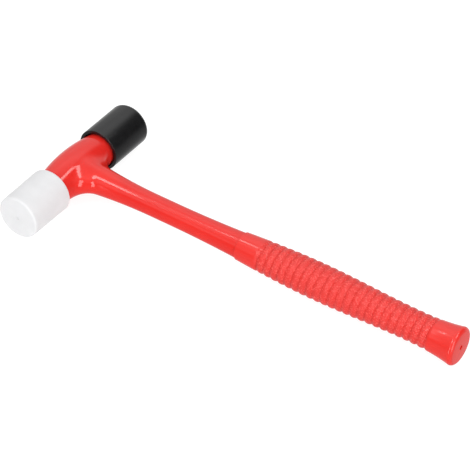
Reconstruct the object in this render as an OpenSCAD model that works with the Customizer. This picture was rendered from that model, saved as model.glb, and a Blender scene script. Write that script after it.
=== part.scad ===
// Soft face hammer: a red moulded head and shaft on a steel core, a red grip sleeve with a wound rib,
// and two striking faces that screw on, one of white nylon and one of black rubber.
// It lies on its side: +X runs along the handle to the butt, +Y along the head to the black face, +Z is up.
// Places along the handle are measured from the head's axis, and places along the head from its middle.

/* [Overall] */
// Length from the outer edge of the faces to the end of the butt
overall_length = 250; // [240:0.5:290]

/* [Head] */
// Length of the head from one striking face to the other
head_length = 100.5; // [96:0.5:120]
// Diameter of the barrel at its middle
barrel_d = 23.2; // [22:0.1:24.6]
// Diameter of the two necks that the faces cover
neck_d = 19; // [18:0.1:20.4]
// Radius of the blend from barrel to shaft at the sides, along the head
side_blend_r = 12.5; // [9:0.5:14]
// Radius of the blend from barrel to shaft above and below
top_blend_r = 29; // [18:0.5:34]

/* [Faces] */
// Diameter of the white face at its rim
white_d = 25; // [24.6:0.1:28]
// Length of the white face from rim to striking end
white_length = 29.2; // [27:0.1:33]
// Diameter of the black face
black_d = 24.2; // [23.6:0.1:28]
// Length of the black face from rim to striking end
black_length = 30.4; // [28:0.1:33]
// Diameter of the white face at its striking end
white_strike_d = 24.4; // [22:0.1:25]
// Rounding of the white face's striking edge
white_edge_r = 1.3; // [0.4:0.1:3]
// Rounding of the white face's rim
white_rim_r = 1.4; // [0.3:0.1:1.5]
// Rounding of the black face's striking edge
black_edge_r = 2.8; // [0.4:0.1:4]
// Rounding of the black face's rim
black_rim_r = 0.3; // [0.2:0.1:1.5]
// Depth of the recess that takes the neck, in the longer face
recess_depth = 7.5; // [5:0.5:9]
// Space between the neck and the recess's wall
neck_gap = 1; // [0.4:0.1:1.2]
// Diameter of the moulding gate's dimple in a striking face
gate_d = 1.8; // [1:0.1:3]
// Depth of the moulding gate's dimple in a striking face
gate_depth = 0.4; // [0.2:0.1:0.8]

/* [Studs and core] */
// Outside diameter of the studs' thread
stud_d = 8; // [6:0.5:9]
// Length of stud that screws into the head's bar
stud_engagement = 12.5; // [10:0.5:14]
// Length of stud inside the face
stud_embed = 14; // [10:0.5:16]
// Diameter of the stud's anchor flange in the face
anchor_d = 15; // [12:0.5:17]
// Thickness of the stud's anchor flange
anchor_t = 3; // [2:0.5:5]
// Diameter of the steel bar in the head
bar_d = 14; // [12:0.5:15]
// Wall of the bar left at the end of the rod's hole
bar_wall = 1.5; // [1:0.25:3]
// Diameter of the steel rod in the handle
core_d = 8; // [6:0.5:8.5]
// Outside diameter of the spring pin that locks the rod in the bar
pin_d = 3; // [2:0.5:4]
// Wall of the rolled spring pin
pin_wall = 0.6; // [0.4:0.1:0.8]
// Width of the spring pin's slot
pin_slot = 0.8; // [0.4:0.1:1.2]

/* [Shaft] */
// Diameter of the shaft at its straight waist
shaft_d = 12.15; // [11:0.05:13]
// Place where the flare from the head ends and the waist starts
waist_start = 52; // [46:1:56]
// Length of the straight waist
waist_length = 12; // [8:1:24]
// Radius of the long flare from the waist to the head
flare_r = 333; // [280:1:420]
// Diameter of the shaft where it enters the grip
shaft_end_d = 14.4; // [13.2:0.1:15]

/* [Grip] */
// Place of the mouth of the grip's collar
grip_start = 107; // [100:1:112]
// Step from the shaft up to the collar's mouth
collar_step = 0.6; // [0.4:0.05:1.2]
// Length of shaft that seats in the collar
collar_seat = 11; // [8:0.5:14]
// Largest diameter over the ribs
belly_d = 19.6; // [18:0.1:22]
// Distance from the collar's mouth to the largest diameter
belly_at = 47; // [40:1:55]
// Smallest diameter over the ribs, near the butt
grip_waist_d = 16.9; // [16:0.1:18]
// Distance from the butt's end to the smallest diameter
grip_waist_at = 27; // [22:0.5:32]
// Diameter of the butt
butt_d = 20.9; // [18:0.1:24]
// Rounding of the butt's end edge
butt_edge_r = 2.2; // [0.6:0.1:3]
// How late the butt's flare opens out, as a power of the distance
butt_curve = 2.6; // [1.5:0.1:4]
// Pitch of the wound rib
rib_pitch = 4.34; // [3.4:0.02:5.5]
// Depth of the groove between turns of the rib
rib_depth = 0.9; // [0.3:0.05:1.2]
// Distance from the collar's mouth to the start of the rib
rib_lead = 11.7; // [8:0.1:16]
// Distance from the end of the rib to the butt's end
rib_tail = 14.3; // [10:0.1:20]
// Diameter of the handle's tang inside the grip
tang_d = 12; // [11:0.1:12.8]
// Length of tang left solid past the end of the rod
tang_wall = 6; // [3:0.5:10]
// Thickness of the grip's closed end behind the tang
butt_wall = 11; // [6:0.5:16]
// Diameter of the moulding gate's dimple in the butt
butt_gate_d = 2.8; // [1.5:0.1:4]
// Depth of the moulding gate's dimple in the butt
butt_gate_depth = 0.9; // [0.4:0.1:2]

/* [Clearances] */
// Space between fixed pieces, on each side
fit_gap = 0.05; // [0.02:0.01:0.1]
// Space between a stud and the hole that it turns in, on each side
run_gap = 0.05; // [0.02:0.01:0.1]

/* [Hidden] */
$fa = 3;
$fs = 0.4;
long_arc_fn = 1440;
head_r = max(white_d, black_d) / 2;
reach = overall_length - head_r;
head_x = head_r - overall_length / 2;
strike_y = head_length / 2;
barrel_end = strike_y - max(white_length, black_length);
neck_end = barrel_end + recess_depth;
barrel_rise = (barrel_d - neck_d) / 2;
barrel_arc_r = (barrel_end ^ 2 + barrel_rise ^ 2) / (2 * barrel_rise);
waist_end = waist_start + waist_length;
swell_rise = (shaft_end_d - shaft_d) / 2;
swell_r = ((grip_start - waist_end) ^ 2 + swell_rise ^ 2) / (2 * swell_rise);
tang_end = reach - butt_wall;
core_end = tang_end - tang_wall;
core_start = bar_wall - bar_d / 2;
rib_from = grip_start + rib_lead;
rib_to = reach - rib_tail;
collar_r = shaft_end_d / 2 + collar_step;
belly_x = grip_start + belly_at;
grip_waist_x = reach - grip_waist_at;
cut = 1;

// How far the blend and the ribbed length are sunk into the turned surfaces that they meet
blend_sink = 0.2;
rib_sink = 0.04;

// Fineness of the shaped surfaces
blend_sides = 48;
blend_steps = 8;
rib_sides = 32;
rib_rows = 4;
profile_steps = 8;

// Placing

module at_head() {
    translate([head_x, 0, head_r]) children();
}

module about_head() {
    rotate([-90, 0, 0]) children();
}

module along_handle() {
    rotate([0, 90, 0]) children();
}

// Head barrel and shaft

function barrel_r_at(y) = barrel_d / 2 - barrel_arc_r + sqrt(barrel_arc_r ^ 2 - y ^ 2);

module barrel_profile() {
    intersection() {
        translate([barrel_d / 2 - barrel_arc_r, 0]) circle(r = barrel_arc_r, $fn = long_arc_fn);
        translate([0, -barrel_end]) square([barrel_d, 2 * barrel_end]);
    }
    translate([0, -neck_end]) square([neck_d / 2, 2 * neck_end]);
}

module shaft_profile() {
    difference() {
        square([barrel_d / 2, waist_start]);
        translate([shaft_d / 2 + flare_r, waist_start]) circle(r = flare_r, $fn = long_arc_fn);
    }
    translate([0, waist_start - cut]) square([shaft_d / 2, waist_length + 2 * cut]);
    difference() {
        translate([0, waist_end]) square([shaft_end_d / 2 + cut, grip_start - waist_end]);
        translate([shaft_d / 2 + swell_r, waist_end]) circle(r = swell_r, $fn = long_arc_fn);
    }
    translate([0, grip_start - cut]) square([shaft_end_d / 2, collar_seat + cut]);
    translate([0, grip_start]) square([tang_d / 2, tang_end - grip_start]);
}

// Blend from barrel to shaft. In each half-plane through the handle's axis, at an angle turned from the
// head's axis, an arc touches the barrel at its foot and the shaft's long flare at its other end.

function blend_r(angle) = side_blend_r + (top_blend_r - side_blend_r) * sin(angle) ^ 2;

function barrel_x(angle, rho) =
    sqrt(max(0, (barrel_r_at(rho * cos(angle)) - blend_sink) ^ 2 - (rho * sin(angle)) ^ 2));

function barrel_slope(angle, rho, step = 0.01) =
    (barrel_x(angle, rho + step) - barrel_x(angle, rho - step)) / (2 * step);

function foot_normal(angle, rho) =
    let (slope = barrel_slope(angle, rho))
    [1, -slope] / sqrt(1 + slope ^ 2);

function blend_centre(angle, rho) =
    [barrel_x(angle, rho), rho] + blend_r(angle) * foot_normal(angle, rho);

flare_centre = [waist_start, shaft_d / 2 - blend_sink + flare_r];

function centre_height(angle, x) =
    flare_centre[1] - sqrt((flare_r - blend_r(angle)) ^ 2 - (waist_start - x) ^ 2);

function blend_foot(angle, low, high, tries = 30) =
    let (middle = (low + high) / 2, centre = blend_centre(angle, middle))
    tries == 0 ? middle
    : centre[1] > centre_height(angle, centre[0]) ? blend_foot(angle, low, middle, tries - 1)
    : blend_foot(angle, middle, high, tries - 1);

// Distance from the handle's axis at which the half-plane leaves the barrel
function widest_foot(angle) =
    let (
        drop = barrel_arc_r - barrel_d / 2 + blend_sink,
        edge = sqrt(barrel_arc_r ^ 2 - (drop * cos(angle)) ^ 2) - drop * abs(sin(angle)),
        run = edge * abs(cos(angle))
    )
    run > barrel_end ? edge * barrel_end / run : edge;

function blend_arc(angle) =
    let (
        rho = blend_foot(angle, shaft_d / 4, widest_foot(angle)),
        centre = blend_centre(angle, rho),
        foot = -foot_normal(angle, rho),
        touch = (centre - flare_centre) / norm(centre - flare_centre),
        from = atan2(foot[1], foot[0]),
        to = atan2(touch[1], touch[0])
    )
    [for (k = [0:blend_steps])
        let (a = from + (to - from) * k / blend_steps)
        centre + blend_r(angle) * [cos(a), sin(a)]];

module handle_blend() {
    rings = [for (i = [0:blend_sides - 1])
        let (angle = 360 * i / blend_sides)
        [for (p = blend_arc(angle)) [p[0], p[1] * cos(angle), p[1] * sin(angle)]]];
    per_ring = blend_steps + 1;
    points = [each [for (ring = rings) each ring], [0, 0, 0], [waist_start, 0, 0]];
    inner = blend_sides * per_ring;
    outer = inner + 1;
    faces = [for (i = [0:blend_sides - 1])
        let (a = i * per_ring, b = ((i + 1) % blend_sides) * per_ring)
        each [
            [inner, a, b],
            [outer, b + blend_steps, a + blend_steps],
            for (k = [0:blend_steps - 1]) each [
                [a + k, a + k + 1, b + k + 1],
                [a + k, b + k + 1, b + k]
            ]
        ]];
    polyhedron(points = points, faces = faces);
}

module handle_body() {
    color("#e8342c")
    at_head() difference() {
        union() {
            about_head() rotate_extrude() barrel_profile();
            along_handle() rotate_extrude() shaft_profile();
            handle_blend();
        }
        about_head() translate([0, 0, -neck_end - cut])
            cylinder(d = bar_d + 2 * fit_gap, h = 2 * (neck_end + cut));
        along_handle() cylinder(d = core_d + 2 * fit_gap, h = core_end + fit_gap);
    }
}

// Grip sleeve

function grip_r(x) =
    x < belly_x ? collar_r + (belly_d / 2 - collar_r) * sin(90 * (x - grip_start) / belly_at)
    : x < grip_waist_x ? (belly_d + grip_waist_d) / 4
        + (belly_d - grip_waist_d) / 4 * cos(180 * (x - belly_x) / (grip_waist_x - belly_x))
    : grip_waist_d / 2 + (butt_d - grip_waist_d) / 2
        * ((x - grip_waist_x) / (grip_waist_at - butt_edge_r)) ^ butt_curve;

module collar_profile() {
    polygon([
        [0, grip_start],
        for (k = [0:profile_steps]) let (x = grip_start + rib_lead * k / profile_steps) [grip_r(x), x],
        [0, rib_from]
    ]);
}

module butt_profile() {
    edge_x = reach - butt_edge_r;
    polygon([
        [0, rib_to],
        for (k = [0:profile_steps]) let (x = rib_to + (edge_x - rib_to) * k / profile_steps) [grip_r(x), x],
        [butt_d / 2 - butt_edge_r, edge_x],
        [butt_d / 2 - butt_edge_r, reach],
        [0, reach]
    ]);
    translate([butt_d / 2 - butt_edge_r, edge_x]) circle(r = butt_edge_r);
}

// The rib is one left-hand winding. Its points lie in rows that follow the winding, so the end of each
// row meets the row one turn on. The groove fades in and out where the smooth collar and butt begin.

function fade(t) = let (s = min(1, max(0, t))) s * s * (3 - 2 * s);

function groove(row) = (1 - 2 * (row % rib_rows) / rib_rows) ^ 2;

function rib_point(row, side) =
    let (
        x = rib_from - rib_pitch + rib_pitch * (row / rib_rows + 1 - side / rib_sides),
        ends = fade(2 * (x - rib_from) / rib_pitch) * fade(2 * (rib_to - x) / rib_pitch),
        r = grip_r(x) - rib_sink - rib_depth * groove(row) * ends,
        angle = 360 * side / rib_sides
    )
    [x, r * cos(angle), r * sin(angle)];

module wound_rib() {
    turns = ceil((rib_to - rib_from) / rib_pitch) + 1;
    rows = turns * rib_rows;
    points = [
        for (row = [0:rows], side = [0:rib_sides - 1]) rib_point(row, side),
        for (row = [0:rib_rows - 1]) rib_point(row, rib_sides),
        [rib_from - rib_pitch, 0, 0],
        [rib_from + rib_pitch * (turns + 1), 0, 0]
    ];
    seam = (rows + 1) * rib_sides;
    start = seam + rib_rows;
    end = start + 1;
    // Index of a point, where a row's last side is the first side of the row one turn back
    function at(row, side) =
        side < rib_sides ? row * rib_sides + side
        : row >= rib_rows ? (row - rib_rows) * rib_sides
        : seam + row;
    faces = [
        for (row = [0:rows - 1], side = [0:rib_sides - 1]) each [
            [at(row, side), at(row + 1, side), at(row + 1, side + 1)],
            [at(row, side), at(row + 1, side + 1), at(row, side + 1)]
        ],
        for (side = [0:rib_sides - 1]) each [
            [start, at(0, side), at(0, side + 1)],
            [end, at(rows, side + 1), at(rows, side)]
        ],
        for (row = [0:rib_rows - 1]) each [
            [start, at(row, rib_sides), at(row + 1, rib_sides)],
            [end, at(rows - row, 0), at(rows - row - 1, 0)]
        ]
    ];
    polyhedron(points = points, faces = faces);
}

module grip_sleeve() {
    color("#ea443c")
    at_head() difference() {
        union() {
            along_handle() rotate_extrude() collar_profile();
            wound_rib();
            along_handle() rotate_extrude() butt_profile();
        }
        along_handle() {
            translate([0, 0, grip_start - cut])
                cylinder(d = shaft_end_d + 2 * fit_gap, h = collar_seat + fit_gap + cut);
            translate([0, 0, grip_start])
                cylinder(d = tang_d + 2 * fit_gap, h = tang_end + fit_gap - grip_start);
            translate([0, 0, reach - butt_gate_depth]) cylinder(d = butt_gate_d, h = butt_gate_depth + cut);
        }
    }
}

// Steel core

module head_bar() {
    color("#a9adb2")
    at_head() difference() {
        about_head() translate([0, 0, -neck_end]) cylinder(d = bar_d, h = 2 * neck_end);
        for (side = [-1, 1]) about_head() mirror([0, 0, side < 0 ? 1 : 0])
            translate([0, 0, neck_end - stud_engagement - cut])
                cylinder(d = stud_d + 2 * run_gap, h = stud_engagement + 2 * cut);
        along_handle() translate([0, 0, core_start - fit_gap])
            cylinder(d = core_d + 2 * fit_gap, h = bar_d);
        translate([0, 0, -bar_d]) cylinder(d = pin_d, h = 2 * bar_d);
    }
}

module handle_core() {
    color("#9a9ea3")
    at_head() difference() {
        along_handle() translate([0, 0, core_start]) cylinder(d = core_d, h = core_end - core_start);
        translate([0, 0, -core_d]) cylinder(d = pin_d, h = 2 * core_d);
    }
}

module core_pin() {
    pin_length = bar_d - pin_d / 2;
    color("#77797d")
    at_head() translate([0, 0, -pin_length / 2]) difference() {
        cylinder(d = pin_d, h = pin_length);
        translate([0, 0, -cut]) cylinder(d = pin_d - 2 * pin_wall, h = pin_length + 2 * cut);
        translate([0, -pin_slot / 2, -cut]) cube([pin_d, pin_slot, pin_length + 2 * cut]);
    }
}

// Striking faces. Each profile is drawn outwards from the head's middle.

module stud_profile(gap = 0) {
    translate([0, neck_end - stud_engagement]) square([stud_d / 2 + gap, stud_engagement + stud_embed]);
    translate([0, neck_end + stud_embed - anchor_t - gap]) square([anchor_d / 2 + gap, anchor_t + 2 * gap]);
}

module face_profile(rim_d, strike_d, length, edge_r, rim_r) {
    edge_y = strike_y - edge_r;
    rim_y = strike_y - length;
    difference() {
        union() {
            polygon([
                [0, rim_y],
                [rim_d / 2 - rim_r, rim_y],
                [rim_d / 2 - rim_r, rim_y + rim_r],
                [rim_d / 2, rim_y + rim_r],
                [strike_d / 2, edge_y],
                [strike_d / 2 - edge_r, edge_y],
                [strike_d / 2 - edge_r, strike_y],
                [0, strike_y]
            ]);
            translate([strike_d / 2 - edge_r, edge_y]) circle(r = edge_r);
            translate([rim_d / 2 - rim_r, rim_y + rim_r]) circle(r = rim_r);
        }
        translate([0, rim_y - cut]) square([neck_d / 2 + neck_gap, neck_end - rim_y + cut]);
        translate([0, strike_y - gate_depth]) square([gate_d / 2, gate_depth + cut]);
        stud_profile(run_gap);
    }
}

module outwards(side) {
    at_head() mirror([0, side < 0 ? 1 : 0, 0]) about_head() rotate_extrude() children();
}

module white_face() {
    color("#ececee") outwards(-1)
        face_profile(white_d, white_strike_d, white_length, white_edge_r, white_rim_r);
}

module white_face_stud() {
    color("#b4b7bb") outwards(-1) stud_profile();
}

module black_face() {
    color("#2a2b2d") outwards(1)
        face_profile(black_d, black_d, black_length, black_edge_r, black_rim_r);
}

module black_face_stud() {
    color("#b4b7bb") outwards(1) stud_profile();
}

handle_body();
grip_sleeve();
head_bar();
handle_core();
core_pin();
white_face();
white_face_stud();
black_face();
black_face_stud();
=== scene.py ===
import math

import bmesh
import bpy
from mathutils import Matrix, Quaternion, Vector


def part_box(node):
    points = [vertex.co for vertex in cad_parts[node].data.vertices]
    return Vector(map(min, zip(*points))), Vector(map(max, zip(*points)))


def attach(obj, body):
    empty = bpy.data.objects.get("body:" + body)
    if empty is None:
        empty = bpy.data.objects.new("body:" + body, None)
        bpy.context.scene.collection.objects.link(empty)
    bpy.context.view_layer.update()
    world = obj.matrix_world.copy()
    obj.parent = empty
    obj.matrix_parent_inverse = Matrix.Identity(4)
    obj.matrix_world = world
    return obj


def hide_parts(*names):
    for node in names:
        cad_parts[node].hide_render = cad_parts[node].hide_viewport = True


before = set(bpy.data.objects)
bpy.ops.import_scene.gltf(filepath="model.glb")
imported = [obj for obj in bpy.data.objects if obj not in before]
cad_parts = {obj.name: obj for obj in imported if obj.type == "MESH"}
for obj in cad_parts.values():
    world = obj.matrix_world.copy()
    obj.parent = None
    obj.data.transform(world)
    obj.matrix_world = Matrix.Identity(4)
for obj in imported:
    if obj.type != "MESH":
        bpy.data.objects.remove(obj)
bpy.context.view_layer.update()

# Sizes of the hammer are in millimetres, apart from HEAD_X and AXIS_Z, which place the middle of the head in
# the row frame in metres. Places are measured from there: x along the handle to the butt, y along the head to
# the black face and z up.
MM = 0.001

# Sizes read from the frame
white_low, white_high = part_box("white_face")
HEAD_X = (white_low.x + white_high.x) / 2
AXIS_Z = (white_low.z + white_high.z) / 2
WHITE_R = (white_high.x - white_low.x) / 2 / MM
WHITE_RIM_Y = -white_high.y / MM

black_low, black_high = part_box("black_face")
BLACK_R = (black_high.x - black_low.x) / 2 / MM
BLACK_RIM_Y = black_low.y / MM
STRIKE_Y = black_high.y / MM
BARREL_END = min(WHITE_RIM_Y, BLACK_RIM_Y)

body_low, body_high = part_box("handle_body")
BARREL_R = (HEAD_X - body_low.x) / MM
NECK_END = body_high.y / MM
TANG_END = (body_high.x - HEAD_X) / MM

grip_low, grip_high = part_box("grip_sleeve")
GRIP_START = (grip_low.x - HEAD_X) / MM
REACH = (grip_high.x - HEAD_X) / MM

_, bar_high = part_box("head_bar")
BAR_R = (bar_high.z - AXIS_Z) / MM

_, core_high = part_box("handle_core")
CORE_R = (core_high.z - AXIS_Z) / MM
CORE_END = (core_high.x - HEAD_X) / MM

stud_low, stud_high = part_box("black_face_stud")
ANCHOR_R = (stud_high.z - AXIS_Z) / MM
STUD_TIP = stud_low.y / MM
STUD_BACK = stud_high.y / MM

# Head and shaft
NECK_R = 9.5
NECK_CHAMFER = 0.3
SIDE_BLEND_R = 12.5
TOP_BLEND_R = 29
SHAFT_R = 6.075
WAIST_START = 52
WAIST_END = 64
FLARE_R = 333
SHAFT_END_R = 7.2
COLLAR_SEAT = 11
TANG_R = 6
FIT_GAP = 0.05

# Grip
COLLAR_R = 7.8
COLLAR_LIP = 0.25
BELLY_R = 9.8
BELLY_X = GRIP_START + 47
GRIP_WAIST_R = 8.45
GRIP_WAIST_X = REACH - 27
BUTT_R = 10.45
BUTT_EDGE_R = 2.2
BUTT_CURVE = 2.6
BUTT_GATE_R = 1.4
BUTT_GATE_DEPTH = 0.9
RIB_PITCH = 4.34
RIB_DEPTH = 0.9
RIB_FROM = GRIP_START + 11.7
RIB_TO = REACH - 14.3

# Faces and studs
WHITE_STRIKE_R = 12.2
WHITE_EDGE_R = 1.3
WHITE_RIM_R = 1.4
BLACK_EDGE_R = 2.8
BLACK_RIM_R = 0.3
NECK_GAP = 1
GATE_R = 0.9
GATE_DEPTH = 0.4
STUD_R = 4
STUD_GAP = 0.05
ANCHOR_T = 3
THREAD_PITCH = 1.25
THREAD_DEPTH = 0.65
THREAD_CHAMFER = 1

# Fineness of the meshes
BLEND_SIDES = 256
BLEND_STEPS = 28
BARREL_STEPS = 40
SHAFT_STEPS = 48
ROD_SIDES = 64
GRIP_SIDES = 128
GRIP_STEP = 0.25
LIP_STEPS = 4
BUTT_EDGE_STEPS = 10
FACE_SIDES = 160
FACE_EDGE_STEPS = 12
FACE_RIM_STEPS = 10
STUD_SIDES = 64
STEPS_PER_THREAD = 12

# A radius below ON_AXIS is a point on the axis. Points closer than MERGE_DISTANCE, in metres, become one.
ON_AXIS = 1e-6
MERGE_DISTANCE = 1e-7

# Edges sharper than this, in degrees, are shaded as edges.
SHARP_ANGLE = 35
GRIP_SHARP_ANGLE = 50

# Camera, fitted to the outline of the hammer: angles in degrees, distance and shift in metres
CAMERA_AZIMUTH = 32.83
CAMERA_ELEVATION = 40.46
CAMERA_ROLL = 2.08
CAMERA_DISTANCE = 1.3
CAMERA_RIGHT = 0.0849
CAMERA_UP = -0.0352
CAMERA_SENSOR = 36
CAMERA_LENS = 186.66


# Meshes

def place(x, y, z):
    """A point given in millimetres from the middle of the head, in the row frame."""
    return Vector((HEAD_X + x * MM, y * MM, AXIS_Z + z * MM))


def about_handle(along, r, angle):
    """A point at a distance along the handle, turned about the handle's axis from +Y to +Z."""
    return place(along, r * math.cos(angle), r * math.sin(angle))


def about_black(along, r, angle):
    """A point at a distance along the head towards the black face, turned about the head's axis."""
    return place(r * math.cos(angle), along, -r * math.sin(angle))


def about_white(along, r, angle):
    """A point at a distance along the head towards the white face, turned about the head's axis."""
    return place(r * math.cos(angle), -along, r * math.sin(angle))


def arc(centre, r, start, end, steps):
    """Points (r, along) on an arc from one angle to another, in degrees."""
    angles = [math.radians(start + (end - start) * k / steps) for k in range(steps + 1)]
    return [(centre[0] + r * math.cos(a), centre[1] + r * math.sin(a)) for a in angles]


def fade(t):
    """0 up to t = 0 and 1 from t = 1, with a smooth rise between them."""
    t = min(1, max(0, t))
    return t * t * (3 - 2 * t)


def new_mesh(name, shape):
    """A mesh from a bmesh, which is freed."""
    bmesh.ops.recalc_face_normals(shape, faces=shape.faces)
    mesh = bpy.data.meshes.new(name)
    shape.to_mesh(mesh)
    shape.free()
    return mesh


def new_piece(name, mesh, material, body, slot, *nodes, sharp=SHARP_ANGLE):
    """A shaded object from a mesh, which rides on a body and stands for CAD nodes."""
    mesh.shade_smooth()
    mesh.set_sharp_from_angle(angle=math.radians(sharp))
    mesh.materials.append(material)
    piece = bpy.data.objects.new(name, mesh)
    bpy.context.scene.collection.objects.link(piece)
    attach(piece, body)
    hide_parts(*nodes)


def turned(name, profile, point, sides, radius=None):
    """A closed mesh turned about an axis from (r, along) points that start and end on the axis.

    radius(r, along, angle), where given, changes the radius round each ring."""
    shape = bmesh.new()
    rings = []
    for r, along in profile:
        if r < ON_AXIS:
            rings.append([shape.verts.new(point(along, 0, 0))])
            continue
        ring = []
        for k in range(sides):
            angle = 2 * math.pi * k / sides
            ring.append(shape.verts.new(point(along, radius(r, along, angle) if radius else r, angle)))
        rings.append(ring)
    for before, after in zip(rings, rings[1:]):
        for k in range(sides):
            n = (k + 1) % sides
            corners = [before[k % len(before)], before[n % len(before)]]
            corners += [after[n % len(after)], after[k % len(after)]]
            shape.faces.new(list(dict.fromkeys(corners)))
    return new_mesh(name, shape)


# Handle: a barrel, two necks and a shaft with a blend between them. The blend is an arc in each half-plane
# through the handle's axis, which touches the barrel at its foot and the shaft's long flare at its other end.
# A half-plane's angle runs about the handle's axis, and rho is the distance from that axis.

SEARCH_STEPS = 40
SLOPE_STEP = 0.01

BARREL_RISE = BARREL_R - NECK_R
BARREL_ARC_R = (BARREL_END ** 2 + BARREL_RISE ** 2) / (2 * BARREL_RISE)
FLARE_CENTRE = Vector((WAIST_START, SHAFT_R + FLARE_R))
SWELL_RISE = SHAFT_END_R - SHAFT_R
SWELL_R = ((GRIP_START - WAIST_END) ** 2 + SWELL_RISE ** 2) / (2 * SWELL_RISE)


def barrel_radius(y):
    """The barrel's radius, which swells in an arc from neck to neck."""
    return BARREL_R - BARREL_ARC_R + math.sqrt(BARREL_ARC_R ** 2 - y ** 2)


def on_barrel(y, turn):
    """A point on the barrel, turned about the head's axis from the handle's side upwards."""
    return place(barrel_radius(y) * math.cos(turn), y, barrel_radius(y) * math.sin(turn))


def barrel_x(angle, rho):
    """Distance along the handle to the barrel's surface."""
    return math.sqrt(max(0, barrel_radius(rho * math.cos(angle)) ** 2 - (rho * math.sin(angle)) ** 2))


def blend_radius(angle):
    """The blend's radius, which grows from the sides to the top and the underside."""
    return SIDE_BLEND_R + (TOP_BLEND_R - SIDE_BLEND_R) * math.sin(angle) ** 2


def foot_normal(angle, rho):
    """Direction (along, rho) that stands off the barrel's surface in a half-plane."""
    rise = barrel_x(angle, rho + SLOPE_STEP) - barrel_x(angle, rho - SLOPE_STEP)
    return Vector((2 * SLOPE_STEP, -rise)).normalized()


def blend_centre(angle, rho):
    """Centre (along, rho) of the blend's arc when its foot is at rho."""
    return Vector((barrel_x(angle, rho), rho)) + blend_radius(angle) * foot_normal(angle, rho)


def widest_foot(angle):
    """Distance from the handle's axis at which a half-plane leaves the barrel."""
    rise = abs(math.sin(angle))
    drop = BARREL_ARC_R - BARREL_R
    edge = math.sqrt(BARREL_ARC_R ** 2 - (drop * math.cos(angle)) ** 2) - drop * rise
    run = edge * abs(math.cos(angle))
    return edge * BARREL_END / run if run > BARREL_END else edge


def blend_foot(angle):
    """Distance from the handle's axis to the blend's foot on the barrel."""
    low = SHAFT_R / 2
    high = widest_foot(angle)
    for _ in range(SEARCH_STEPS):
        middle = (low + high) / 2
        centre = blend_centre(angle, middle)
        reach = (FLARE_R - blend_radius(angle)) ** 2 - (WAIST_START - centre.x) ** 2
        if centre.y > FLARE_CENTRE.y - math.sqrt(reach):
            high = middle
        else:
            low = middle
    return (low + high) / 2


def blend_profile(angle):
    """Points (along, r) of the blend's arc from the barrel to the shaft."""
    rho = blend_foot(angle)
    centre = blend_centre(angle, rho)
    foot = -foot_normal(angle, rho)
    touch = (centre - FLARE_CENTRE).normalized()
    start = math.atan2(foot.y, foot.x)
    end = math.atan2(touch.y, touch.x)
    r = blend_radius(angle)
    turns = [start + (end - start) * k / BLEND_STEPS for k in range(BLEND_STEPS + 1)]
    return [(centre.x + r * math.cos(a), centre.y + r * math.sin(a)) for a in turns]


def shaft_radius(x):
    """The shaft's radius, which narrows in a long flare to its waist and swells again to the grip."""
    if x < WAIST_START:
        return FLARE_CENTRE.y - math.sqrt(FLARE_R ** 2 - (WAIST_START - x) ** 2)
    if x < WAIST_END:
        return SHAFT_R
    return SHAFT_R + SWELL_R - math.sqrt(SWELL_R ** 2 - (x - WAIST_END) ** 2)


def shaft_profile(start):
    """Points (along, r) of the shaft from the end of the blend to the end of its tang."""
    points = [start + (GRIP_START - start) * k / SHAFT_STEPS for k in range(1, SHAFT_STEPS + 1)]
    seat_end = GRIP_START + COLLAR_SEAT
    return [(x, shaft_radius(x)) for x in points] + [
        (seat_end, SHAFT_END_R), (seat_end, TANG_R), (TANG_END, TANG_R)]


def barrel_ray(angle):
    """Points (y, turn) on the barrel from the blend's foot out to a neck or to the line along its back."""
    rho = blend_foot(angle)
    foot = Vector((rho * math.cos(angle), math.atan2(rho * math.sin(angle), barrel_x(angle, rho))))
    edge = Vector((math.cos(angle), math.sin(angle))) / max(abs(math.cos(angle)), abs(math.sin(angle)))
    edge = Vector((edge.x * BARREL_END, edge.y * math.pi))
    return [foot.lerp(edge, k / BARREL_STEPS) for k in range(BARREL_STEPS + 1)]


def neck_profile():
    """Points (y, r) from a neck's root over its end and into the bar's bore."""
    return [(NECK_END - NECK_CHAMFER, NECK_R), (NECK_END, NECK_R - NECK_CHAMFER), (NECK_END, BAR_R + FIT_GAP)]


def handle_mesh():
    """The barrel, necks, blend and shaft as one closed mesh with the bar's bore through the head."""
    shape = bmesh.new()

    def strip(before, after):
        for a, b, c, d in zip(before, before[1:] + before[:1], after[1:] + after[:1], after):
            shape.faces.new([a, b, c, d])

    # Each line runs from a neck or the barrel's back over the barrel, blend and shaft to the tang's end.
    angles = [2 * math.pi * k / BLEND_SIDES for k in range(BLEND_SIDES)]
    lines = []
    for angle in angles:
        blend = blend_profile(angle)
        outer = blend + shaft_profile(blend[-1][0])
        inner = [on_barrel(y, turn) for y, turn in barrel_ray(angle)]
        points = inner[:0:-1] + [about_handle(x, r, angle) for x, r in outer]
        lines.append([shape.verts.new(p) for p in points])
    rings = [list(ring) for ring in zip(*lines)]
    for before, after in zip(rings, rings[1:]):
        strip(before, after)
    shape.faces.new(rings[-1])

    # The rays from one eighth of a turn either side of the head's axis end on a neck's root.
    eighth = BLEND_SIDES // 8
    neck_lines = {
        1: [k % BLEND_SIDES for k in range(-eighth, eighth)],
        -1: [k % BLEND_SIDES for k in range(3 * eighth, 5 * eighth)],
    }
    bores = []
    for side, picked in neck_lines.items():
        turns = [barrel_ray(angles[k])[-1].y for k in picked]
        ring = [rings[0][k] for k in picked]
        for y, r in neck_profile():
            after = [shape.verts.new(place(r * math.cos(t), side * y, r * math.sin(t))) for t in turns]
            strip(ring, after)
            ring = after
        bores.append(sorted(zip(turns, ring), key=lambda pair: pair[0] % (2 * math.pi)))
    strip([v for _, v in bores[0]], [v for _, v in bores[1]])
    bmesh.ops.remove_doubles(shape, verts=shape.verts, dist=MERGE_DISTANCE)
    return new_mesh("handle_shell", shape)


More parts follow.
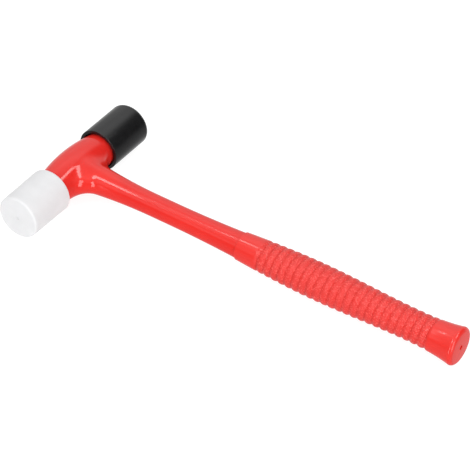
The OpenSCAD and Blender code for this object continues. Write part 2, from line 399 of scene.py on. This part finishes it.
def rod_profile():
    """Points (r, along) of the hole for the rod, from inside the bar's bore to its blind end."""
    r = CORE_R + FIT_GAP
    end = CORE_END + FIT_GAP
    return [(0, 0), (r, 0), (r, end), (0, end)]


def cut(name, mesh, hole):
    """A mesh with the shape of another one taken out of it."""
    body = bpy.data.objects.new(name, mesh)
    cutter = bpy.data.objects.new("cutter", hole)
    for thing in (body, cutter):
        bpy.context.scene.collection.objects.link(thing)
    step = body.modifiers.new("hole", "BOOLEAN")
    step.operation = "DIFFERENCE"
    step.solver = "EXACT"
    step.object = cutter
    graph = bpy.context.evaluated_depsgraph_get()
    result = bpy.data.meshes.new_from_object(body.evaluated_get(graph))
    for thing in (body, cutter):
        bpy.data.objects.remove(thing)
    for old in (mesh, hole):
        bpy.data.meshes.remove(old)
    result.name = name
    return result


# Grip sleeve

def grip_radius(x):
    """The grip's radius over its ribs, which swells to a belly, narrows to a waist and flares to the butt."""
    if x < BELLY_X:
        swing = math.sin(math.pi / 2 * (x - GRIP_START) / (BELLY_X - GRIP_START))
        return COLLAR_R + (BELLY_R - COLLAR_R) * swing
    if x < GRIP_WAIST_X:
        swing = math.cos(math.pi * (x - BELLY_X) / (GRIP_WAIST_X - BELLY_X))
        return (BELLY_R + GRIP_WAIST_R) / 2 + (BELLY_R - GRIP_WAIST_R) / 2 * swing
    flare = (x - GRIP_WAIST_X) / (REACH - BUTT_EDGE_R - GRIP_WAIST_X)
    return GRIP_WAIST_R + (BUTT_R - GRIP_WAIST_R) * flare ** BUTT_CURVE


def rib_share(x):
    """1 along the ribbed length, fading to 0 at the smooth collar and butt."""
    return fade(2 * (x - RIB_FROM) / RIB_PITCH) * fade(2 * (RIB_TO - x) / RIB_PITCH)


def ribbed_radius(r, x, angle):
    """The radius with the left-hand groove between the rib's turns taken off, outside the bore."""
    if not RIB_FROM < x < RIB_TO or r <= TANG_R + FIT_GAP:
        return r
    turn = (x - RIB_FROM) / RIB_PITCH + angle / (2 * math.pi)
    return r - RIB_DEPTH * (1 - 2 * (turn % 1)) ** 2 * rib_share(x)


def grip_profile():
    """Points (r, along) of the grip from its bore's end, out at the collar and back over the butt."""
    bore_r = TANG_R + FIT_GAP
    bore_end = TANG_END + FIT_GAP
    seat_r = SHAFT_END_R + FIT_GAP
    seat_end = GRIP_START + COLLAR_SEAT + FIT_GAP
    gate_end = REACH - BUTT_GATE_DEPTH
    edge_x = REACH - BUTT_EDGE_R
    lip = (COLLAR_R - COLLAR_LIP, GRIP_START + COLLAR_LIP)
    steps = round((edge_x - lip[1]) / GRIP_STEP)
    along = [lip[1] + (edge_x - lip[1]) * k / steps for k in range(1, steps)]
    return [
        (0, bore_end), (bore_r, bore_end), (bore_r, seat_end), (seat_r, seat_end), (seat_r, GRIP_START),
        *arc(lip, COLLAR_LIP, -90, 0, LIP_STEPS),
        *[(grip_radius(x), x) for x in along],
        *arc((BUTT_R - BUTT_EDGE_R, edge_x), BUTT_EDGE_R, 0, 90, BUTT_EDGE_STEPS),
        (BUTT_GATE_R, REACH), (BUTT_GATE_R, gate_end), (0, gate_end)]


# Faces and studs

def face_profile(rim_y, face_r, strike_r, edge_r, rim_r):
    """Points (r, along) of a face from its striking end over its rim into its recess and stud cavity."""
    gate_end = STRIKE_Y - GATE_DEPTH
    recess_r = NECK_R + NECK_GAP
    stud_r = STUD_R + STUD_GAP
    anchor_r = ANCHOR_R + STUD_GAP
    anchor_front = STUD_BACK - ANCHOR_T - STUD_GAP
    anchor_back = STUD_BACK + STUD_GAP
    return [
        (0, gate_end), (GATE_R, gate_end), (GATE_R, STRIKE_Y),
        *arc((strike_r - edge_r, STRIKE_Y - edge_r), edge_r, 90, 0, FACE_EDGE_STEPS),
        *arc((face_r - rim_r, rim_y + rim_r), rim_r, 0, -90, FACE_RIM_STEPS),
        (recess_r, rim_y), (recess_r, NECK_END), (stud_r, NECK_END), (stud_r, anchor_front),
        (anchor_r, anchor_front), (anchor_r, anchor_back), (0, anchor_back)]


def stud_profile():
    """Points (r, along) of a stud from its tip to the back of its anchor."""
    steps = round((NECK_END - STUD_TIP) / THREAD_PITCH * STEPS_PER_THREAD)
    along = [STUD_TIP + (NECK_END - STUD_TIP) * k / steps for k in range(steps + 1)]
    anchor_front = STUD_BACK - ANCHOR_T
    return [
        (0, STUD_TIP), *[(STUD_R, y) for y in along], (STUD_R, anchor_front),
        (ANCHOR_R, anchor_front), (ANCHOR_R, STUD_BACK), (0, STUD_BACK)]


def threaded_radius(r, along, angle):
    """The stud's radius with a right-hand thread, chamfered at the tip and faded out at the face."""
    if along > NECK_END or r > STUD_R:
        return r
    turn = along / THREAD_PITCH - angle / (2 * math.pi)
    ridge = abs(1 - 2 * (turn % 1))
    depth = THREAD_DEPTH * fade((NECK_END - along) / THREAD_PITCH)
    tip = THREAD_DEPTH * max(0, 1 - (along - STUD_TIP) / THREAD_CHAMFER)
    return r - max(depth * ridge, tip)


# Materials

# Most of a noise texture's values lie between these two.
NOISE_LOW = 0.3
NOISE_HIGH = 0.7

# The floor is lit from inside like a light table, so that little shadow falls on it.
FLOOR_GLOW = 0.91


def new_material(name, **sockets):
    """A material whose shader has some sockets set, with their names written with underscores."""
    material = bpy.data.materials.new(name)
    material.use_nodes = True
    shader = material.node_tree.nodes["Principled BSDF"]
    for socket, value in sockets.items():
        shader.inputs[socket.replace("_", " ")].default_value = value
    return material, material.node_tree, shader


def add_noise(tree, scale, detail=3, stretch=(1, 1, 1)):
    """Noise over the surface in the object's own frame, with its scale in cells a metre."""
    where = tree.nodes.new("ShaderNodeTexCoord")
    mapping = tree.nodes.new("ShaderNodeMapping")
    mapping.inputs["Scale"].default_value = stretch
    noise = tree.nodes.new("ShaderNodeTexNoise")
    noise.inputs["Scale"].default_value = scale
    noise.inputs["Detail"].default_value = detail
    tree.links.new(where.outputs["Object"], mapping.inputs["Vector"])
    tree.links.new(mapping.outputs["Vector"], noise.inputs["Vector"])
    return noise.outputs["Fac"]


def add_range(tree, value, low, high, start=NOISE_LOW, end=NOISE_HIGH):
    """A number that runs from low to high while the value runs from start to end."""
    spread = tree.nodes.new("ShaderNodeMapRange")
    spread.inputs["From Min"].default_value = start
    spread.inputs["From Max"].default_value = end
    spread.inputs["To Min"].default_value = low
    spread.inputs["To Max"].default_value = high
    tree.links.new(value, spread.inputs["Value"])
    return spread.outputs["Result"]


def add_roughness(tree, shader, value, low, high, start=NOISE_LOW, end=NOISE_HIGH):
    """A roughness that runs from low to high while the value runs from start to end."""
    tree.links.new(add_range(tree, value, low, high, start, end), shader.inputs["Roughness"])


def add_tint(tree, shader, value, low, high, start=NOISE_LOW, end=NOISE_HIGH):
    """A base colour that runs from low to high while the value runs from start to end."""
    ramp = tree.nodes.new("ShaderNodeValToRGB")
    ramp.color_ramp.elements[0].position = start
    ramp.color_ramp.elements[1].position = end
    ramp.color_ramp.elements[0].color = (*low, 1)
    ramp.color_ramp.elements[1].color = (*high, 1)
    tree.links.new(value, ramp.inputs["Fac"])
    tree.links.new(ramp.outputs["Color"], shader.inputs["Base Color"])


def add_bump(tree, shader, height, depth):
    """Relief of a depth in metres."""
    bump = tree.nodes.new("ShaderNodeBump")
    bump.inputs["Distance"].default_value = depth
    tree.links.new(height, bump.inputs["Height"])
    tree.links.new(bump.outputs["Normal"], shader.inputs["Normal"])
    return bump


def red_gloss():
    """The smooth, shiny plastic of the head and shaft."""
    material, tree, shader = new_material("red_gloss")
    add_tint(tree, shader, add_noise(tree, scale=60), low=(0.71, 0.0205, 0.015), high=(0.76, 0.0265, 0.0195))
    wear = add_noise(tree, scale=350, stretch=(0.2, 1, 1))
    add_roughness(tree, shader, wear, low=0.085, high=0.115)
    add_bump(tree, shader, add_noise(tree, scale=160, detail=1), depth=0.000018)
    return material


def red_grip():
    """The grip's plastic, smooth at the collar and butt and grained on the ribs, with paler specks painted
    into the ribs' colour as glints of light.
    """
    material, tree, shader = new_material("red_grip")
    grain = tree.nodes.new("ShaderNodeAttribute")
    grain.attribute_name = "grain"
    grained = grain.outputs["Fac"]
    # Paler specks in the base colour on the ribs are painted highlights: glints of the lights on the grain,
    # not the plastic's own colour.
    glint_mask = tree.nodes.new("ShaderNodeMath")
    glint_mask.operation = "MULTIPLY"
    tree.links.new(add_noise(tree, scale=1500, detail=1), glint_mask.inputs[0])
    tree.links.new(grained, glint_mask.inputs[1])
    painted_glints = glint_mask.outputs["Value"]
    add_tint(tree, shader, painted_glints, low=(0.76, 0.031, 0.024), high=(0.94, 0.112, 0.098), start=0.52, end=0.72)
    add_roughness(tree, shader, grained, low=0.13, high=0.22, start=0, end=1)
    bump = add_bump(tree, shader, add_noise(tree, scale=2000, detail=1), depth=0.00045)
    tree.links.new(grained, bump.inputs["Strength"])
    return material


def white_nylon():
    """The dull, slightly translucent nylon of the white face."""
    material, tree, shader = new_material("white_nylon", Subsurface_Weight=0.08, Subsurface_Scale=0.002)
    shader.inputs["Subsurface Radius"].default_value = (1, 1, 1)
    add_tint(tree, shader, add_noise(tree, scale=120), low=(0.705, 0.705, 0.715), high=(0.745, 0.745, 0.755))
    add_roughness(tree, shader, add_noise(tree, scale=700), low=0.6, high=0.7)
    add_bump(tree, shader, add_noise(tree, scale=900, detail=2), depth=0.00003)
    return material


def black_rubber():
    """The hard, satin rubber of the black face."""
    material, tree, shader = new_material("black_rubber")
    clouds = add_noise(tree, scale=300)
    add_tint(tree, shader, clouds, low=(0.0065, 0.0065, 0.007), high=(0.0095, 0.0095, 0.01))
    add_roughness(tree, shader, add_noise(tree, scale=1200), low=0.19, high=0.24)
    add_bump(tree, shader, add_noise(tree, scale=2500, detail=2), depth=0.000005)
    return material


def turned_steel():
    """The bare steel of the bar, rod, pin and studs."""
    material, tree, shader = new_material("turned_steel", Metallic=1.0)
    add_tint(tree, shader, add_noise(tree, scale=200), low=(0.42, 0.43, 0.45), high=(0.56, 0.57, 0.59))
    add_roughness(tree, shader, add_noise(tree, scale=3000), low=0.24, high=0.4)
    add_bump(tree, shader, add_noise(tree, scale=4000, detail=2), depth=0.00001)
    return material


def pale_floor():
    """A pale floor that glows."""
    material, tree, shader = new_material("pale_floor", Roughness=0.7, Emission_Strength=FLOOR_GLOW)
    shader.inputs["Emission Color"].default_value = (1, 1, 1, 1)
    add_tint(tree, shader, add_noise(tree, scale=3), low=(0.19, 0.19, 0.19), high=(0.21, 0.21, 0.21))
    return material


# Pieces

steel = turned_steel()

rod_hole = turned("rod_hole", rod_profile(), about_handle, ROD_SIDES)
shell_mesh = cut("handle_shell", handle_mesh(), rod_hole)
new_piece("handle_shell", shell_mesh, red_gloss(), "handle", "red_gloss", "handle_body")

grip_mesh = turned("ribbed_grip", grip_profile(), about_handle, GRIP_SIDES, ribbed_radius)
grain = grip_mesh.attributes.new("grain", "FLOAT", "POINT")
for vertex in grip_mesh.vertices:
    grain.data[vertex.index].value = rib_share((vertex.co.x - HEAD_X) / MM)
new_piece("ribbed_grip", grip_mesh, red_grip(), "handle", "red_grip", "grip_sleeve", sharp=GRIP_SHARP_ANGLE)

white_profile = face_profile(WHITE_RIM_Y, WHITE_R, WHITE_STRIKE_R, WHITE_EDGE_R, WHITE_RIM_R)
white_mesh = turned("white_cap", white_profile, about_white, FACE_SIDES)
new_piece("white_cap", white_mesh, white_nylon(), "white_face", "white_nylon", "white_face")

black_profile = face_profile(BLACK_RIM_Y, BLACK_R, BLACK_R, BLACK_EDGE_R, BLACK_RIM_R)
black_mesh = turned("black_cap", black_profile, about_black, FACE_SIDES)
new_piece("black_cap", black_mesh, black_rubber(), "black_face", "black_rubber", "black_face")

for colour, point in (("white", about_white), ("black", about_black)):
    stud_mesh = turned(f"{colour}_threaded_stud", stud_profile(), point, STUD_SIDES, threaded_radius)
    new_piece(f"{colour}_threaded_stud", stud_mesh, steel, f"{colour}_stud", "steel", f"{colour}_face_stud")

for node in ("head_bar", "handle_core", "core_pin"):
    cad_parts[node].data.materials.clear()
    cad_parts[node].data.materials.append(steel)


# Camera, floor and light

# Sizes of the studio in metres
FLOOR_SIZE = 12
PANEL_DISTANCE = 3

# Brightness of the dome over the height of a direction, from -1 below to 1 above
OVERHEAD = (
    (-0.8, 0.38), (-0.5, 0.36), (-0.3, 0.34), (0.1, 0.14), (0.4, 0.4), (0.66, 0.5), (0.8, 0.95), (0.98, 0.7))

# Brightness that is added over a direction's share towards the bright side, whose azimuth is in degrees
BEHIND = ((0.2, 0.0), (0.7, 0.42))
BRIGHT_SIDE = -145

# Factor over a direction's share towards the dark side, whose azimuth and elevation are in degrees
SHADED = ((0.8, 1.0), (0.94, 0.15))
DARK_SIDE = (140, 28)

# Sockets of a Mix node that are for colours. They go by number, because their names repeat.
MIX_FACTOR = 0
MIX_FIRST = 6
MIX_SECOND = 7
MIX_RESULT = 2


def direction(azimuth, elevation):
    """Unit vector to a place seen from the hammer, in degrees: azimuth 0 is -Y and 90 is +X."""
    a, e = math.radians(azimuth), math.radians(elevation)
    return Vector((math.sin(a) * math.cos(e), -math.cos(a) * math.cos(e), math.sin(e)))


def add_camera():
    """The photo's camera, which is shifted across its view so that the hammer lies as in the photo."""
    back = direction(CAMERA_AZIMUTH, CAMERA_ELEVATION)
    right = direction(CAMERA_AZIMUTH + 90, 0)
    up = back.cross(right)
    turn = Matrix.Rotation(math.radians(CAMERA_ROLL), 3, back)
    right, up = turn @ right, turn @ up
    spot = place(0, 0, 0) + right * CAMERA_RIGHT + up * CAMERA_UP + back * CAMERA_DISTANCE
    data = bpy.data.cameras.new("camera")
    data.sensor_width = CAMERA_SENSOR
    data.lens = CAMERA_LENS
    camera = bpy.data.objects.new("camera", data)
    camera.matrix_world = Matrix.Translation(spot) @ Matrix((right, up, back)).transposed().to_4x4()
    bpy.context.scene.collection.objects.link(camera)
    bpy.context.scene.camera = camera


def add_panel(name, azimuth, elevation, width, height, radiance, roll=0):
    """A soft rectangular light that faces the head, with its angles in degrees."""
    data = bpy.data.lights.new(name, "AREA")
    data.shape = "RECTANGLE"
    data.size = width
    data.size_y = height
    data.energy = radiance * math.pi * width * height
    light = bpy.data.objects.new(name, data)
    towards = direction(azimuth, elevation)
    light.location = place(0, 0, 0) + towards * PANEL_DISTANCE
    light.rotation_mode = "QUATERNION"
    light.rotation_quaternion = towards.to_track_quat("Z", "Y") @ Quaternion((0, 0, 1), math.radians(roll))
    light.visible_camera = False
    bpy.context.scene.collection.objects.link(light)


def add_floor():
    """The floor. It isn't seen in reflections, which show the lower half of the dome in its place."""
    half = FLOOR_SIZE / 2
    corners = [(-half, -half, 0), (half, -half, 0), (half, half, 0), (-half, half, 0)]
    mesh = bpy.data.meshes.new("floor")
    mesh.from_pydata(corners, [], [(0, 1, 2, 3)])
    mesh.materials.append(pale_floor())
    floor = bpy.data.objects.new("floor", mesh)
    bpy.context.scene.collection.objects.link(floor)
    floor.visible_glossy = False


def add_ramp(tree, value, steps):
    """Greys that run with a value from -1 to 1, given as (value, shade) pairs."""
    ramp = tree.nodes.new("ShaderNodeValToRGB")
    elements = ramp.color_ramp.elements
    while len(elements) < len(steps):
        elements.new(position=0.5)
    for element, (spot, shade) in zip(elements, steps):
        element.position = (spot + 1) / 2
        element.color = (shade, shade, shade, 1)
    tree.links.new(add_range(tree, value, low=0, high=1, start=-1, end=1), ramp.inputs["Fac"])
    return ramp.outputs["Color"]


def add_sky():
    """A soft dome: bright overhead and behind the head, dim at the horizon and dark beyond the black face."""
    world = bpy.data.worlds.new("studio")
    world.use_nodes = True
    tree = world.node_tree
    where = tree.nodes.new("ShaderNodeTexCoord").outputs["Generated"]
    height = tree.nodes.new("ShaderNodeSeparateXYZ")
    tree.links.new(where, height.inputs["Vector"])

    def share(towards):
        aside = tree.nodes.new("ShaderNodeVectorMath")
        aside.operation = "DOT_PRODUCT"
        aside.inputs[1].default_value = towards
        tree.links.new(where, aside.inputs[0])
        return aside.outputs["Value"]

    def mixed(kind, first, second):
        mix = tree.nodes.new("ShaderNodeMix")
        mix.data_type = "RGBA"
        mix.blend_type = kind
        mix.inputs[MIX_FACTOR].default_value = 1
        tree.links.new(first, mix.inputs[MIX_FIRST])
        tree.links.new(second, mix.inputs[MIX_SECOND])
        return mix.outputs[MIX_RESULT]

    overhead = add_ramp(tree, height.outputs["Z"], OVERHEAD)
    behind = add_ramp(tree, share(direction(BRIGHT_SIDE, 0)), BEHIND)
    shaded = add_ramp(tree, share(direction(*DARK_SIDE)), SHADED)
    glow = mixed("MULTIPLY", mixed("ADD", overhead, behind), shaded)
    tree.links.new(glow, tree.nodes["Background"].inputs["Color"])
    bpy.context.scene.world = world


add_camera()
add_floor()
add_sky()
add_panel("left_haze", azimuth=-22, elevation=29, width=1.0, height=1.2, radiance=0.45)
add_panel("left_strip", azimuth=10, elevation=9, width=0.65, height=2.6, radiance=5)
add_panel("right_strip", azimuth=66, elevation=13, width=0.85, height=2.7, radiance=4.5)
add_panel("left_box", azimuth=-18, elevation=54, width=1.375, height=0.75, radiance=6)
add_panel("far_left_haze", azimuth=-65, elevation=61, width=1.3, height=0.45, radiance=0.7)
add_panel("far_left_box", azimuth=-75, elevation=60, width=0.26, height=0.12, radiance=11)
add_panel("right_box", azimuth=109, elevation=57, width=2.1, height=0.55, radiance=5.5, roll=12)
bpy.context.scene.view_settings.view_transform = "Standard"
